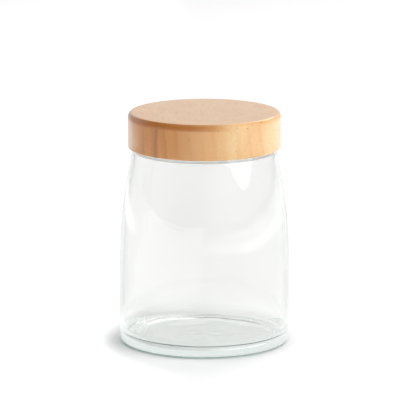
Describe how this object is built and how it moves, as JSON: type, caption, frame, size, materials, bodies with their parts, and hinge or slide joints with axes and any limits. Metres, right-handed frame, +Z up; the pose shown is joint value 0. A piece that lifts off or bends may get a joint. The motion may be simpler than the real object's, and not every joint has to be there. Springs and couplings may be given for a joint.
{
  "type": "lidded glass canister",
  "caption": "Round clear glass storage jar with inward-leaning sides, a threaded neck and a screw-on turned beech cap with a plastic insert and silicone gasket.",
  "frame": {"origin": "centre of the foot ring, on the plane the jar stands on", "axes": "+Z up along the common turning axis of jar and lid; X and Y are interchangeable because every piece is turned, and the wood grain of the cap runs along Y"},
  "size_m": [0.11, 0.11, 0.15],
  "materials": {
    "clear_glass": "clear, fire-polished",
    "clear_silicone": "translucent white, satin",
    "white_polypropylene": "moulded satin",
    "oiled_beech": "sanded and lightly oiled"
  },
  "bodies": {
    "jar": {"glass_jar": "clear_glass"},
    "seal": {"sealing_gasket": "clear_silicone"},
    "lid": {"beech_cap": "oiled_beech", "threaded_insert": "white_polypropylene"}
  },
  "joints": [
    {"name": "seal_lift", "type": "slide", "parent": "jar", "child": "seal", "axis": [0, 0, 1], "range_m": [0, 0.0204]},
    {"name": "lid_turn", "type": "hinge", "parent": "seal", "child": "lid", "pos_m": [0, 0, 0.1422], "axis": [0, 0, 1], "range_deg": [0, 1440]}
  ],
  "couplings": [
    {"joint": "seal_lift", "follows": "lid_turn", "m_per_rad": 0.00080851}
  ]
}
